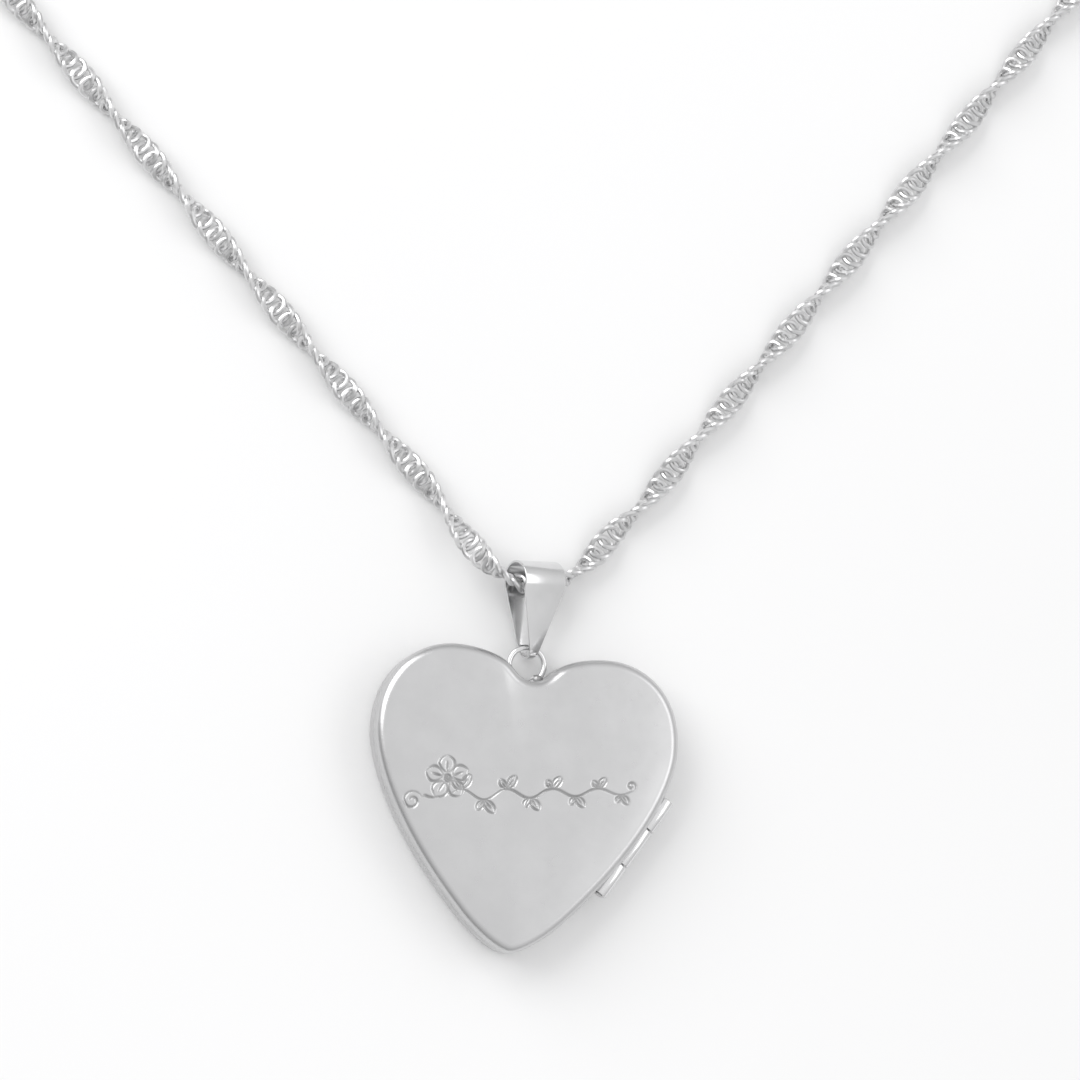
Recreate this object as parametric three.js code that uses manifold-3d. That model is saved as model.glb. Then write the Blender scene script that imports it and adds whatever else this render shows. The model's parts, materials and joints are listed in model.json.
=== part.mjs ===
// Heart photo locket on a twisted-curb (Singapore) chain, laid flat on its back.
// Millimetres, +Z up, +Y up the heart towards the bail, origin in the middle of the flat back face.
import * as THREE from 'three';
import { mergeVertices } from 'three/addons/utils/BufferGeometryUtils.js';
import Module from 'manifold-3d';

const wasm = await Module();
wasm.setup();

// ---- locket body --------------------------------------------------------------------------------
const SHEET = 0.35;            // thickness of the pressed silver sheet
const EDGE_R = 0.7;            // radius of the rounded perimeter
const SEAM_Z = 2.0;            // height of the parting line, and of the hinge axis
const SEAM_GAP = 0.05;         // gap between the two closed shells
const FACE_EDGE_Z = 3.75;      // front face where the rounded edge begins
const PILLOW = 0.25;           // rise of the front face from there to its middle
const CENTRE = [0, -0.6];      // the point the heart's radial lines start from

// Right half of the heart, from the notch round to the tip, as cubic curves.
const HALF_HEART = [
  { curve: [[0, 8.38], [0.95, 8.38], [1.35, 9.14], [1.9, 9.55]], steps: 7 },
  { curve: [[1.9, 9.55], [2.5, 9.997], [3.9, 10.47], [5.6, 10.47]], steps: 5 },
  { curve: [[5.6, 10.47], [8.0, 10.47], [11, 8.7], [11, 4.39]], steps: 9 },
  { curve: [[11, 4.39], [11, 2.15], [9.44, -2.42], [3.73, -8.44]], steps: 10 },
  { curve: [[3.73, -8.44], [2.66, -9.57], [0.86, -10.89], [0, -10.89]], steps: 8 },
];

// Lip that stands up out of the back shell into the cover, and what lies inside each half.
const LIP = { outer: 0.38, inner: 0.58, bottom: 0.75, top: 2.45, leadIn: 0.15 };
const CARD = { inset: 0.74, back: [0.39, 0.64], front: [3.11, 3.36] };
const FILM = { inset: 0.70, back: [0.69, 0.87], front: [2.88, 3.06] };
const FRAME = { inset: 0.66, opening: 0.9, bevel: 0.12, back: [0.91, 1.40], front: [2.50, 2.84] };

// ---- hinge --------------------------------------------------------------------------------------
const HINGE_AT = 0.635;        // where along the long side curve its middle lies
const HINGE_OUT = 0.12;        // axis outside the edge of the heart
const KNUCKLE_R = 0.62;
const KNUCKLE_BORE = 0.27;
const PIN_R = 0.24;
const GROOVE_R = 0.66;         // groove of the hinge in both shells
const MIDDLE_LENGTH = 3.0;
const OUTER_LENGTH = 2.55;
const KNUCKLE_GAP = 0.12;
const LEAF = { out: -0.02, near: 0.3, far: 1.1, reach: { middle: 0.33, outer: 0.52 }, fit: 0.03 };

// ---- ring and bail ------------------------------------------------------------------------------
const RING = { radius: 1.28, wire: 0.22, x: -0.14, y: 9.72, z: 1.1, fit: 0.03 };
const POST = { radius: 0.25, hole: 0.28, end: 7.78 };
const BAIL = {
  strip: 0.17, tipRadius: 0.86, topRadius: 1.41, length: 4.84,
  tipHalfWidth: 0.2, topHalfWidth: 1.73, twist: 24, slope: 1.85, lift: 12,
};

// ---- chain and clasp ----------------------------------------------------------------------------
const CHAIN_R = 0.95;          // half the chain's greatest width
// Middle of the chain: from its end ring down the right strand, through the bail, up the left
// strand, and round to the coil of spare length.
const ROUTE = [
  [43.9, 74.4, 1.0], [36.4, 63.7, 1.0], [29.0, 53.1, 1.0], [21.5, 42.4, 1.0], [15.2, 33.4, 1.0],
  [10.6, 26.9, 1.0], [7.5, 22.4, 1.0], [5.3, 19.85, 1.0], [3.9, 17.85, 1.0], [2.7, 16.65, 1.1],
  [1.19, 15.72, 1.52], [-0.3, 15.33, 2.17], [-2.05, 15.5, 2.79], [-3.6, 16.25, 2.83],
  [-5.6, 18.3, 1.9], [-7.7, 21.0, 1.05], [-11.5, 24.6, 1.0], [-17.3, 30.1, 1.0],
  [-25.2, 37.7, 1.0], [-33.9, 46.0, 1.0], [-42.6, 54.2, 1.0], [-49.9, 61.1, 1.0],
  [-51.4, 63.4, 1.0], [-51.7, 66.1, 1.0], [-50.8, 68.7, 1.0], [-48.9, 70.6, 1.0],
  [-46.3, 71.5, 1.0], [-38.1, 72.2, 1.0], [-27.2, 73.2, 1.0], [-17.2, 74.1, 1.0],
  [-10.6, 74.7, 1.0],
];
const RUN_STEPS = 72;
// From the top of the coil down to the table and on to the clasp.
const TAIL = [
  [4.1, 76.0, 2.4], [6.5, 76.2, 2.15], [10.0, 76.5, 1.45], [14.0, 76.9, 1.05], [20.0, 77.4, 1.0],
  [30.0, 78.35, 1.0], [39.9, 79.2, 1.0],
];
const TAIL_STEPS = 14;
const COIL = { centre: [-4.35, 87.29], inner: 10, outer: 12, height: 3.9, corner: 0.4 };
const JOIN_GAP = 0.3;          // between a chain solid's end and the ring it hangs in
const END_RING = { radius: 1.3, wire: 0.25 };
const END_WAY = 55.03;         // direction of the right strand at its end, degrees from +X
const LINK_RING = { radius: 1.1, wire: 0.2 };
const TAIL_WAY = 5.16;         // direction of the tail at the clasp
const CLASP = { radius: 2.6, tube: 0.55, bore: 0.33, bolt: 0.28, z: 1.25 };
const EYELET = { radius: 0.75, wire: 0.22, angle: 163.36 };
// Degrees round the clasp ring.
const CLASP_GAP = [280, 330];
const BOLT_ARC = [274, 400];
const SPRING_END = 477;        // bottom of the bore that the bolt slides back into
const TRIGGER_ANGLE = 385;
const BOLT_TRAVEL = 57;

// ---- helpers ------------------------------------------------------------------------------------
const rad = THREE.MathUtils.degToRad;
const V = (x, y, z) => new THREE.Vector3(x, y, z);
const heading = (degrees) => V(Math.cos(rad(degrees)), Math.sin(rad(degrees)), 0);

// A closed solid through equal rings of points; open lofts get a fan at each end.
function loft(rings, { closed = false, ends = null } = {}) {
  const n = rings[0].length;
  const position = rings.flat().flatMap((p) => [p.x, p.y, p.z]);
  const index = [];
  const last = closed ? rings.length : rings.length - 1;
  for (let i = 0; i < last; i++) {
    const a = i * n;
    const b = ((i + 1) % rings.length) * n;
    for (let j = 0; j < n; j++) {
      const k = (j + 1) % n;
      index.push(a + j, a + k, b + k, a + j, b + k, b + j);
    }
  }
  if (!closed) {
    const mean = (ring) => ring.reduce((s, p) => s.add(p), V(0, 0, 0)).divideScalar(n);
    const [start, end] = ends ?? [mean(rings[0]), mean(rings.at(-1))];
    const s = position.length / 3;
    position.push(start.x, start.y, start.z, end.x, end.y, end.z);
    const e = (rings.length - 1) * n;
    for (let j = 0; j < n; j++) {
      const k = (j + 1) % n;
      index.push(s, k, j, s + 1, e + j, e + k);
    }
  }
  return outward(new THREE.BufferGeometry()
    .setAttribute('position', new THREE.Float32BufferAttribute(position, 3))
    .setIndex(index));
}

// Turns the triangles over where the enclosed volume comes out negative.
function outward(geometry) {
  const p = geometry.attributes.position;
  const index = Array.from(geometry.index.array);
  const at = (i) => V(p.getX(i), p.getY(i), p.getZ(i));
  let volume = 0;
  for (let i = 0; i < index.length; i += 3) {
    volume += at(index[i]).dot(at(index[i + 1]).cross(at(index[i + 2])));
  }
  if (volume < 0) {
    for (let i = 0; i < index.length; i += 3) {
      [index[i + 1], index[i + 2]] = [index[i + 2], index[i + 1]];
    }
    geometry.setIndex(index);
  }
  return geometry;
}

function solid(geometry) {
  const bare = new THREE.BufferGeometry()
    .setAttribute('position', geometry.attributes.position.clone());
  if (geometry.index) bare.setIndex(geometry.index.clone());
  const merged = outward(mergeVertices(bare, 1e-5));
  return new wasm.Manifold(new wasm.Mesh({
    numProp: 3,
    vertProperties: new Float32Array(merged.attributes.position.array),
    triVerts: new Uint32Array(merged.index.array),
  }));
}

function geometryOf(manifold) {
  const mesh = manifold.getMesh();
  return new THREE.BufferGeometry()
    .setAttribute('position', new THREE.BufferAttribute(new Float32Array(mesh.vertProperties), 3))
    .setIndex(new THREE.BufferAttribute(new Uint32Array(mesh.triVerts), 1));
}

const cut = (geometry, cutters) => geometryOf(
  cutters.reduce((body, cutter) => body.subtract(solid(cutter)), solid(geometry)));
const join = (geometries) => geometryOf(
  geometries.slice(1).reduce((body, other) => body.add(solid(other)), solid(geometries[0])));

// Round bar bent in a circle about the Z axis, between two angles in degrees.
function arcBar(radius, bar, from, to, steps, sides) {
  return loft(Array.from({ length: steps + 1 }, (_, i) => {
    const out = heading(from + ((to - from) * i) / steps);
    return Array.from({ length: sides }, (_, j) => {
      const a = (j / sides) * Math.PI * 2;
      return out.clone().multiplyScalar(radius + bar * Math.cos(a)).setZ(bar * Math.sin(a));
    });
  }));
}

const standingRing = ({ radius, wire }, degrees, at) => new THREE.TorusGeometry(radius, wire, 8, 24)
  .rotateX(Math.PI / 2).rotateZ(rad(degrees)).translate(at.x, at.y, at.z);

// ---- heart outline ------------------------------------------------------------------------------
const bezier = ([a, b, c, d], t) => [0, 1].map((k) => (1 - t) ** 3 * a[k]
  + 3 * (1 - t) ** 2 * t * b[k] + 3 * (1 - t) * t * t * c[k] + t ** 3 * d[k]);

const rightHalf = HALF_HEART.flatMap(({ curve, steps }) => Array.from(
  { length: steps }, (_, i) => bezier(curve, i / steps)));
const tip = HALF_HEART.at(-1).curve[3];
// Anticlockwise from the tip, up the right side, over the notch and down the left side.
const OUTLINE = [
  tip,
  ...rightHalf.slice(1).reverse(),
  rightHalf[0],
  ...rightHalf.slice(1).map(([x, y]) => [-x, y]),
];

// The outline moved inwards by a distance, keeping its point count.
function inset(distance) {
  const n = OUTLINE.length;
  const unit = ([x, y]) => { const l = Math.hypot(x, y); return [x / l, y / l]; };
  return OUTLINE.map((p, i) => {
    const a = OUTLINE[(i + n - 1) % n];
    const b = OUTLINE[(i + 1) % n];
    const [ux, uy] = unit([p[0] - a[0], p[1] - a[1]]);
    const [vx, vy] = unit([b[0] - p[0], b[1] - p[1]]);
    const [mx, my] = unit([-uy - vy, ux + vx]);
    const reach = distance / (mx * -uy + my * ux);
    return [p[0] + mx * reach, p[1] + my * reach];
  });
}

const level = (loop, z) => loop.map(([x, y]) => V(x, y, z));
const towardsCentre = (loop, k) => loop.map(([x, y]) => [
  CENTRE[0] + (x - CENTRE[0]) * k, CENTRE[1] + (y - CENTRE[1]) * k]);

// Pressed shell, open upwards: outside from the middle of its face to the rim, then the inside.
function shell(faceZ, rimZ, pillow) {
  const s = Math.sign(rimZ - faceZ);
  const outerFace = inset(EDGE_R);
  const rise = (k) => -s * pillow * (1 - k * k);
  const rings = [];
  const domes = pillow > 0 ? [0.35, 0.65, 0.87] : [];
  for (const k of domes) rings.push(level(towardsCentre(outerFace, k), faceZ + rise(k)));
  for (const a of [0, 30, 60, 90]) {
    rings.push(level(inset(EDGE_R * (1 - Math.sin(rad(a)))),
      faceZ + s * EDGE_R * (1 - Math.cos(rad(a)))));
  }
  rings.push(level(OUTLINE, rimZ));
  rings.push(level(inset(SHEET), rimZ));
  const inner = EDGE_R - SHEET;
  for (const a of [90, 45, 0]) {
    rings.push(level(inset(EDGE_R - inner * Math.sin(rad(a))),
      faceZ + s * (EDGE_R - inner * Math.cos(rad(a)))));
  }
  const ceiling = faceZ + s * SHEET;
  for (const k of [...domes].reverse()) {
    rings.push(level(towardsCentre(outerFace, k), ceiling + rise(k)));
  }
  return loft(rings, {
    ends: [V(...CENTRE, faceZ + rise(0)), V(...CENTRE, ceiling + rise(0))],
  });
}

const plate = (loop, [z0, z1]) => loft([level(loop, z0), level(loop, z1)], {
  ends: [V(...CENTRE, z0), V(...CENTRE, z1)],
});

// Frame that holds the film and the card, bevelled on the side away from the sheet.
function photoFrame([z0, z1], open) {
  const outer = inset(FRAME.inset);
  const inner = towardsCentre(outer, FRAME.opening);
  const wider = towardsCentre(outer, FRAME.opening + 0.015);
  const [seat, face] = open > 0 ? [z0, z1] : [z1, z0];
  return loft([
    level(outer, seat), level(outer, face),
    level(wider, face), level(inner, face - open * FRAME.bevel), level(inner, seat),
  ], { closed: true });
}

// ---- hinge, in its own axes: X out of the heart, Y along the hinge, Z up -------------------------
const side = HALF_HEART[3].curve;
const [above, below] = [-1e-3, 1e-3].map((step) => bezier(side, HINGE_AT + step));
const along = V(above[0] - below[0], above[1] - below[1], 0).normalize();
const away = V(along.y, -along.x, 0);
const hingeFrame = new THREE.Matrix4().makeBasis(along.clone().cross(V(0, 0, 1)), along, V(0, 0, 1))
  .setPosition(V(...bezier(side, HINGE_AT), SEAM_Z).addScaledVector(away, HINGE_OUT));

const rod = (radius, from, to, sides) => new THREE.CylinderGeometry(radius, radius, to - from, sides)
  .translate(0, (from + to) / 2, 0).applyMatrix4(hingeFrame);

// Leaf that ties a knuckle to its shell's wall; side is 1 for the cover and -1 for the back.
function leaf([from, to], reach, shellSide, grow = 0) {
  const width = LEAF.out + reach + 2 * grow;
  const height = LEAF.far - LEAF.near + 2 * grow;
  return new THREE.BoxGeometry(width, to - from + 2 * grow, height)
    .translate((LEAF.out - reach) / 2, (from + to) / 2, (shellSide * (LEAF.near + LEAF.far)) / 2)
    .applyMatrix4(hingeFrame);
}

function knuckle([from, to], reach, shellSide) {
  const body = join([rod(KNUCKLE_R, from, to, 24), leaf([from, to], reach, shellSide)]);
  return cut(body, [rod(KNUCKLE_BORE, from - 1, to + 1, 16)]);
}

const middle = [-MIDDLE_LENGTH / 2, MIDDLE_LENGTH / 2];
const upper = [middle[1] + KNUCKLE_GAP, middle[1] + KNUCKLE_GAP + OUTER_LENGTH];
const lower = [-upper[1], -upper[0]];
const hingeHalf = upper[1];
const groove = (extra) => rod(GROOVE_R + extra, -hingeHalf - 0.1, hingeHalf + 0.1, 24);
const backPockets = [upper, lower].map((span) => leaf(span, LEAF.reach.outer, -1, LEAF.fit));
const frontPocket = leaf(middle, LEAF.reach.middle, 1, LEAF.fit);

// The pin is held by its swaged lower end.
const pin = new THREE.LatheGeometry([
  [0, -hingeHalf - 0.16], [0.2, -hingeHalf - 0.16], [0.34, -hingeHalf - 0.12],
  [0.36, -hingeHalf - 0.03], [PIN_R, -hingeHalf - 0.03], [PIN_R, hingeHalf + 0.1],
  [0, hingeHalf + 0.1],
].map(([r, y]) => new THREE.Vector2(r, y)), 16).applyMatrix4(hingeFrame);

// ---- ring, with the post that holds it in the back shell's wall ----------------------------------
const postBar = (radius, from, to) => new THREE.CylinderGeometry(radius, radius, to - from, 16)
  .translate(RING.x, (from + to) / 2, RING.z);
const postHole = postBar(POST.hole, POST.end - 0.3, RING.y - RING.radius - 0.1);
const ringBar = (wire) => new THREE.TorusGeometry(RING.radius, wire, 10, 32)
  .translate(RING.x, RING.y, RING.z);
const ringSeat = ringBar(RING.wire + RING.fit);
const topRing = join([
  ringBar(RING.wire),
  postBar(POST.radius, POST.end, RING.y - RING.radius),
]);

// ---- bail: one strip bent into a drop-shaped loop ------------------------------------------------
function bailGeometry() {
  const { strip, tipRadius, topRadius, length } = BAIL;
  const lean = Math.asin((topRadius - tipRadius) / length);
  const profile = [];                          // [along, depth, normal along, normal depth]
  const arc = (centre, radius, from, to, steps) => {
    for (let i = 0; i <= steps; i++) {
      const a = from + ((to - from) * i) / steps;
      profile.push([centre + radius * Math.cos(a), radius * Math.sin(a), Math.cos(a), Math.sin(a)]);
    }
  };
  const straight = (sign) => {
    const n = [-Math.sin(lean), sign * Math.cos(lean)];
    for (const k of sign > 0 ? [0.67, 0.33] : [0.33, 0.67]) {
      const r = tipRadius + (topRadius - tipRadius) * k;
      profile.push([length * k + r * n[0], r * n[1], ...n]);
    }
  };
  const turn = Math.PI / 2 + lean;
  arc(length, topRadius, -turn, turn, 18);
  straight(1);
  arc(0, tipRadius, turn, 2 * Math.PI - turn, 10);
  straight(-1);
  const halfWidth = (u) => THREE.MathUtils.lerp(BAIL.tipHalfWidth, BAIL.topHalfWidth,
    THREE.MathUtils.clamp((u + tipRadius) / (length - 0.5 + tipRadius), 0, 1));
  const geometry = loft(profile.map(([u, w, nu, nw]) => {
    const h = halfWidth(u);
    const [iu, iw] = [u - nu * strip, w - nw * strip];
    return [V(h, u, w), V(-h, u, w), V(-h, iu, iw), V(h, iu, iw)];
  }), { closed: true });
  return geometry.rotateY(rad(BAIL.twist)).rotateZ(rad(BAIL.slope)).rotateX(rad(BAIL.lift))
    .translate(RING.x, RING.y + RING.radius, RING.z);
}

// ---- chain --------------------------------------------------------------------------------------
const chainSection = new THREE.Shape(Array.from({ length: 8 }, (_, i) => {
  const a = rad(45 * i + 22.5);
  return new THREE.Vector2(CHAIN_R * Math.cos(a), CHAIN_R * Math.sin(a));
}));
const chainTube = (points, steps) => new THREE.ExtrudeGeometry(chainSection, {
  steps, extrudePath: new THREE.CatmullRomCurve3(points.map((p) => V(...p))),
});

function coilRing() {
  const { inner, outer, height, corner } = COIL;
  const [r0, r1] = [inner - CHAIN_R, outer + CHAIN_R];
  return new THREE.LatheGeometry([
    [r0, corner], [r0 + corner, 0], [r1 - corner, 0], [r1, corner], [r1, height - corner],
    [r1 - corner, height], [r0 + corner, height], [r0, height - corner], [r0, corner],
  ].map(([r, y]) => new THREE.Vector2(r, y)), 32)
    .rotateX(Math.PI / 2).translate(COIL.centre[0], COIL.centre[1], 0);
}

// ---- end rings and clasp ------------------------------------------------------------------------
const endRingAt = V(...ROUTE[0])
  .addScaledVector(heading(END_WAY), JOIN_GAP + END_RING.wire + END_RING.radius)
  .setZ(END_RING.radius + END_RING.wire);
const claspAt = endRingAt.clone()
  .addScaledVector(heading(END_WAY), 0.3 + CLASP.radius).setZ(CLASP.z);
const eyeletAt = claspAt.clone().addScaledVector(heading(EYELET.angle),
  CLASP.radius + CLASP.tube + EYELET.radius + EYELET.wire + 0.03);
const linkRingAt = eyeletAt.clone().addScaledVector(heading(TAIL_WAY), -LINK_RING.radius)
  .setZ(LINK_RING.radius + LINK_RING.wire);

const slotSteps = 12;
function triggerSlot(from, to) {
  return loft(Array.from({ length: slotSteps + 1 }, (_, i) => {
    const out = heading(from + ((to - from) * i) / slotSteps);
    return [[2.62, -0.25], [3.4, -0.25], [3.4, 0.25], [2.62, 0.25]].map(
      ([r, z]) => out.clone().multiplyScalar(r).setZ(z));
  }));
}

const claspBody = cut(arcBar(CLASP.radius, CLASP.tube, CLASP_GAP[1], CLASP_GAP[0] + 360, 36, 14), [
  arcBar(CLASP.radius, CLASP.bore, CLASP_GAP[1] - 1, SPRING_END, 16, 12),
  arcBar(CLASP.radius, CLASP.bore, CLASP_GAP[0] - 12, CLASP_GAP[0] + 1, 3, 12),
  triggerSlot(TRIGGER_ANGLE - 6, TRIGGER_ANGLE + BOLT_TRAVEL + 6),
]).translate(claspAt.x, claspAt.y, claspAt.z);

// Curved bolt, with the thumb knob that stands out through the slot.
const knob = new THREE.LatheGeometry([
  [0, 2.6], [0.2, 2.6], [0.2, 3.5], [0.3, 3.55], [0.3, 3.75], [0.18, 3.85], [0, 3.85],
].map(([r, y]) => new THREE.Vector2(r, y)), 12).rotateZ(rad(TRIGGER_ANGLE - 90));
const claspBolt = join([arcBar(CLASP.radius, CLASP.bolt, ...BOLT_ARC, 18, 12), knob])
  .translate(claspAt.x, claspAt.y, claspAt.z);

// ---- assembly -----------------------------------------------------------------------------------
const part = new THREE.Group();
part.name = 'heart_locket';
function add(name, geometry, color, roughness = 0.3, metalness = 1) {
  const mesh = new THREE.Mesh(geometry, new THREE.MeshStandardMaterial({
    color, roughness, metalness }));
  mesh.name = name;
  part.add(mesh);
}
const SILVER = 0xc9cacc;
const BRIGHT = 0xd6d7d9;
const INNER = 0xb4b5b8;

add('back_shell', cut(shell(0, SEAM_Z - SEAM_GAP / 2, 0), [
  groove(0), ...backPockets, postHole, ringSeat,
]), SILVER);
add('seam_lip', cut(loft([
  level(inset(LIP.outer), LIP.bottom), level(inset(LIP.outer), LIP.top - LIP.leadIn),
  level(inset(LIP.outer + 0.06), LIP.top), level(inset(LIP.inner), LIP.top),
  level(inset(LIP.inner), LIP.bottom),
], { closed: true }), [groove(0.04), ...backPockets, frontPocket, postHole]), INNER, 0.35);
add('top_ring', topRing, BRIGHT, 0.2);
add('hinge_knuckle_upper', knuckle(upper, LEAF.reach.outer, -1), BRIGHT, 0.25);
add('hinge_knuckle_lower', knuckle(lower, LEAF.reach.outer, -1), BRIGHT, 0.25);
add('hinge_pin', pin, INNER, 0.3);
add('photo_card_back', plate(inset(CARD.inset), CARD.back), 0xf1ede3, 0.85, 0);
add('film_window_back', plate(inset(FILM.inset), FILM.back), 0xe8f0f2, 0.08, 0);
add('photo_frame_back', photoFrame(FRAME.back, 1), BRIGHT, 0.25);

add('front_shell', cut(shell(FACE_EDGE_Z, SEAM_Z + SEAM_GAP / 2, PILLOW), [groove(0), frontPocket]),
  SILVER);
add('hinge_knuckle_middle', knuckle(middle, LEAF.reach.middle, 1), BRIGHT, 0.25);
add('photo_card_front', plate(inset(CARD.inset), CARD.front), 0xf1ede3, 0.85, 0);
add('film_window_front', plate(inset(FILM.inset), FILM.front), 0xe8f0f2, 0.08, 0);
add('photo_frame_front', photoFrame(FRAME.front, -1), BRIGHT, 0.25);

add('bail', bailGeometry(), BRIGHT, 0.2);
add('chain_run', chainTube(ROUTE, RUN_STEPS), SILVER);
add('chain_coil', coilRing(), SILVER);
add('chain_tail', chainTube(TAIL, TAIL_STEPS), SILVER);
add('chain_end_ring', standingRing(END_RING, END_WAY, endRingAt), BRIGHT, 0.2);
add('clasp_link_ring', standingRing(LINK_RING, TAIL_WAY, linkRingAt), BRIGHT, 0.2);
add('clasp_eyelet', new THREE.TorusGeometry(EYELET.radius, EYELET.wire, 8, 20)
  .translate(eyeletAt.x, eyeletAt.y, eyeletAt.z), BRIGHT, 0.2);
add('clasp_body', claspBody, SILVER, 0.25);
add('clasp_bolt', claspBolt, BRIGHT, 0.25);

export default part;
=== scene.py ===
"""Heart photo locket on a twisted-curb chain, lying on a pale table. Everything is in metres."""

import json
import math

import bpy
import numpy as np
from mathutils import Matrix, Vector


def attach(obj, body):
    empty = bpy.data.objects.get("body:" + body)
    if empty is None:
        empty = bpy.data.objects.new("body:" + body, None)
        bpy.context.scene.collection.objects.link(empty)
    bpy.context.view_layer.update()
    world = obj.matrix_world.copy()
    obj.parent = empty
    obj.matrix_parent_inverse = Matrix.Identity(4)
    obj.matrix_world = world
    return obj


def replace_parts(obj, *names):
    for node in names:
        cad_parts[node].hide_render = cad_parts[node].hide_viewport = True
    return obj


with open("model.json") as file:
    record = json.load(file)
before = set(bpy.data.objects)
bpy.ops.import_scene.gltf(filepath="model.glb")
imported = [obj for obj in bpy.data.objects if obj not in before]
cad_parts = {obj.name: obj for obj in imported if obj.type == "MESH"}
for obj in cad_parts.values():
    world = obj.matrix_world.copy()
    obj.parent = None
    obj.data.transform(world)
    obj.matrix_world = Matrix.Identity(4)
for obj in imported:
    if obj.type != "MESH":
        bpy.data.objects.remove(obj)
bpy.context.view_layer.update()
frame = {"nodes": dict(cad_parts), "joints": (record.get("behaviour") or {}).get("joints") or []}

MM = 0.001

# ---- camera: above the locket, a little to its left and below ------------------------------------
VIEW_CENTRE = (-0.17, 18.73, 2.0)  # mm, middle of the picture
VIEW_TURN = 5.16  # degrees that the locket stands turned in the picture
VIEW_FROM_LEFT = 0.21  # sideways parts of the direction towards the camera
VIEW_FROM_BELOW = 0.135
VIEW_WIDTH = 77.84  # mm across at the centre
LENS = 100.0
SENSOR = 36.0


def turned(degrees):
    """Unit vectors to the right and upwards, turned in the table's plane."""
    a = math.radians(degrees)
    return Vector((math.cos(a), math.sin(a), 0)), Vector((-math.sin(a), math.cos(a), 0))


def add_camera():
    right, up = turned(VIEW_TURN)
    lift = math.sqrt(1 - VIEW_FROM_LEFT**2 - VIEW_FROM_BELOW**2)
    towards = Vector((0, 0, lift)) - VIEW_FROM_LEFT * right - VIEW_FROM_BELOW * up
    across = up.cross(towards).normalized()
    axes = Matrix((across, towards.cross(across), towards)).transposed()
    data = bpy.data.cameras.new("camera")
    data.lens = LENS
    data.sensor_width = SENSOR
    data.clip_start = 0.01
    camera = bpy.data.objects.new("camera", data)
    place = Vector(VIEW_CENTRE) + towards * (VIEW_WIDTH * LENS / SENSOR)
    camera.matrix_world = Matrix.Translation(place * MM) @ axes.to_4x4()
    bpy.context.scene.collection.objects.link(camera)
    bpy.context.scene.camera = camera


def heading(degrees):
    a = math.radians(degrees)
    return np.array((math.cos(a), math.sin(a), 0))


# ---- mesh helpers --------------------------------------------------------------------------------
def volume(points, faces):
    """Six times the volume inside the faces, positive when they point outwards."""
    total = 0.0
    a = points[faces[:, 0]]
    for i in range(1, faces.shape[1] - 1):
        total += np.einsum("ij,ij->", a, np.cross(points[faces[:, i]], points[faces[:, i + 1]]))
    return total


def piece(name, body, slot, material, points, faces, sharp=40):
    """A smooth-shaded mesh object, from points in mm, riding on a body."""
    mesh = bpy.data.meshes.new(name)
    mesh.from_pydata((np.asarray(points) * MM).tolist(), [], [tuple(map(int, f)) for f in faces])
    mesh.polygons.foreach_set("use_smooth", [True] * len(mesh.polygons))
    mesh.set_sharp_from_angle(angle=math.radians(sharp))
    mesh.update()
    obj = bpy.data.objects.new(name, mesh)
    bpy.context.scene.collection.objects.link(obj)
    mesh.materials.append(material)
    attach(obj, body)
    return obj


def loft(rings, closed=False, ends=None):
    """Points and faces, facing outwards, of the solid through equal rings of points. Unless the
    last ring joins the first, fans about the two end points close it."""
    rings = np.asarray(rings, float)
    m, n = rings.shape[:2]
    points = rings.reshape(-1, 3)
    i = np.arange(m if closed else m - 1)[:, None]
    j = np.arange(n)[None, :]
    a, b = i * n, ((i + 1) % m) * n
    k = (j + 1) % n
    quads = np.stack([a + j, a + k, b + k, b + j], axis=-1).reshape(-1, 4)
    total = volume(points, quads)
    fans = np.zeros((0, 3), int)
    if not closed:
        middles = ends if ends is not None else [rings[0].mean(0), rings[-1].mean(0)]
        points = np.vstack([points, np.asarray(middles)])
        j = np.arange(n)
        k = (j + 1) % n
        first = np.stack([np.full(n, m * n), k, j], axis=-1)
        last = np.stack([np.full(n, m * n + 1), (m - 1) * n + j, (m - 1) * n + k], axis=-1)
        fans = np.vstack([first, last])
        total += volume(points, fans)
    if total < 0:
        quads, fans = quads[:, ::-1], fans[:, ::-1]
    return points, quads.tolist() + fans.tolist()


def joined(*parts):
    """Several lofts as one mesh."""
    points, faces, start = [], [], 0
    for p, f in parts:
        points.append(p)
        faces += [[v + start for v in face] for face in f]
        start += len(p)
    return np.vstack(points), faces


def torus(centre, u, v, radius, wire, steps=96, sides=24):
    """Round ring of wire in the plane of two unit vectors."""
    centre, u, v = (np.asarray(x, float) for x in (centre, u, v))
    normal = np.cross(u, v)
    a = np.linspace(0, 2 * math.pi, steps, endpoint=False)[:, None, None]
    b = np.linspace(0, 2 * math.pi, sides, endpoint=False)[None, :, None]
    out = np.cos(a) * u + np.sin(a) * v
    return loft(centre + out * (radius + wire * np.cos(b)) + normal * (wire * np.sin(b)), closed=True)


def cut(obj, *parts):
    """Takes closed lofts out of a piece."""
    for points, faces in parts:
        mesh = bpy.data.meshes.new("cutter")
        mesh.from_pydata((np.asarray(points) * MM).tolist(), [], faces)
        cutter = bpy.data.objects.new("cutter", mesh)
        bpy.context.scene.collection.objects.link(cutter)
        change = obj.modifiers.new("cut", "BOOLEAN")
        change.operation = "DIFFERENCE"
        change.solver = "EXACT"
        change.object = cutter
        bpy.context.view_layer.update()
        after = bpy.data.meshes.new_from_object(obj.evaluated_get(bpy.context.evaluated_depsgraph_get()))
        obj.modifiers.remove(change)
        before, name = obj.data, obj.data.name
        obj.data = after
        bpy.data.meshes.remove(before)
        after.name = name
        bpy.data.objects.remove(cutter)
        bpy.data.meshes.remove(mesh)


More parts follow.
